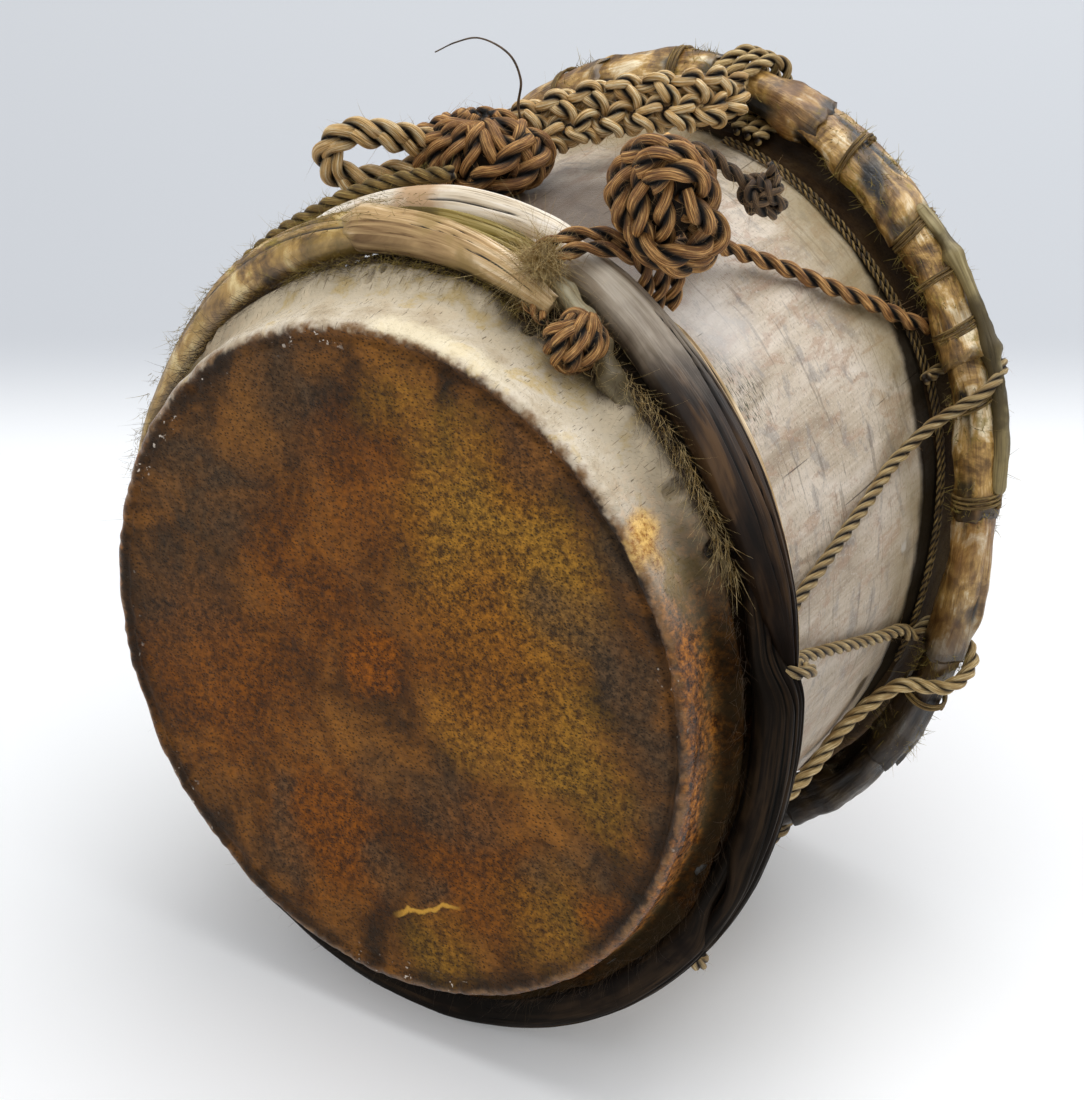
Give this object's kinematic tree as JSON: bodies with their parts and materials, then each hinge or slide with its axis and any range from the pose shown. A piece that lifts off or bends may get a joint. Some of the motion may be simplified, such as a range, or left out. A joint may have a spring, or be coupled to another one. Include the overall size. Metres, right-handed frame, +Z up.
{
  "type": "double-headed rope-laced drum",
  "caption": "Short log drum lying on its side, with hide heads, bound vine counter hoops, zigzag rope lacing, a braided carrying strap and a knotted rope toggle.",
  "frame": {"origin": "middle of the base of the drum's box, on the surface that the drum lies on", "axes": "+Z up; the drum's own axis lies along Y, the batter head faces -Y, and +X is on the right seen from the batter head"},
  "size_m": [0.2944, 0.2667, 0.317],
  "materials": {
    "log_wood": "hand-cut log, grey-brown, worn semi-matt",
    "batter_hide": "rawhide, dark brown mottled with orange, pale worn collar",
    "rear_hide": "rawhide, brown, matt",
    "pale_cane": "weathered peeled stick, matt",
    "dark_vine": "split vine stalk, grooved, dark, slightly polished by handling",
    "split_vine": "split vine lath, grey-yellow, splintered, matt",
    "bark": "bark and hide wrapping, mossy, matt",
    "moss_fibre": "yellow-green bast fibre, rough",
    "lace_rope": "twisted bast rope, golden tan, dry",
    "dark_rope": "twisted bast rope, dark brown, slightly waxy"
  },
  "bodies": {
    "drum": {"shell": "log_wood", "batter_head": "batter_hide", "rear_head": "rear_hide", "front_flesh_hoop": "pale_cane", "rear_flesh_hoop": "pale_cane", "front_hoop_stalk_right": "dark_vine", "front_hoop_stalk_lower": "dark_vine", "front_hoop_stalk_bottom": "dark_vine", "front_hoop_stalk_left": "dark_vine", "front_hoop_stalk_upper_left": "bark", "front_hoop_lath_1": "split_vine", "front_hoop_lath_2": "split_vine", "front_hoop_lath_3": "split_vine", "front_hoop_edge_strip": "dark_vine", "front_hoop_fibre_rope": "moss_fibre", "rear_hoop_cane": "pale_cane", "rear_hoop_wrap_1": "bark", "rear_hoop_wrap_2": "bark", "rear_hoop_wrap_3": "bark", "rear_hoop_wrap_4": "bark", "rear_hoop_wrap_5": "bark", "rear_hoop_wrap_6": "bark", "rear_hoop_binding_1": "lace_rope", "rear_hoop_binding_2": "lace_rope", "rear_hoop_binding_3": "lace_rope", "rear_hoop_binding_4": "lace_rope", "rear_hoop_binding_5": "lace_rope", "rear_hoop_binding_6": "lace_rope", "rear_hoop_binding_7": "lace_rope", "rear_hoop_binding_8": "lace_rope", "rear_hoop_binding_9": "lace_rope", "rear_hoop_binding_10": "lace_rope", "rear_hoop_binding_11": "lace_rope", "rear_hoop_binding_12": "lace_rope", "rear_hoop_binding_13": "lace_rope", "rear_hoop_outer_cane": "pale_cane", "lacing_rope": "lace_rope", "front_hoop_tie_1": "lace_rope", "front_hoop_tie_2": "lace_rope", "front_hoop_tie_3": "lace_rope", "front_hoop_tie_4": "lace_rope", "rear_hoop_tie_1": "lace_rope", "rear_hoop_tie_2": "lace_rope", "rear_hoop_tie_3": "lace_rope", "rear_hoop_tie_4": "lace_rope", "rear_hoop_tie_5": "lace_rope", "rear_hoop_tie_6": "lace_rope", "strap_hitch": "lace_rope", "rear_edge_cord_1": "lace_rope", "rear_edge_cord_2": "lace_rope", "anchor_knot": "dark_rope", "toggle_lashing": "dark_rope", "toggle_knot": "dark_rope"},
    "strap": {"strap_braid": "lace_rope", "strap_knot": "dark_rope", "strap_loop": "dark_rope"},
    "pigtail": {"pigtail_cord": "dark_rope", "pigtail_knot": "dark_rope"}
  },
  "joints": [
    {"name": "strap_lift", "type": "hinge", "parent": "drum", "child": "strap", "pos_m": [0.0137, 0.0902, 0.2784], "axis": [-1, 0, 0], "range_deg": [0, 90]},
    {"name": "pigtail_swing", "type": "hinge", "parent": "drum", "child": "pigtail", "pos_m": [0.0671, -0.0341, 0.3096], "axis": [0.3303, -0.9439, 0], "range_deg": [0, 70]}
  ]
}
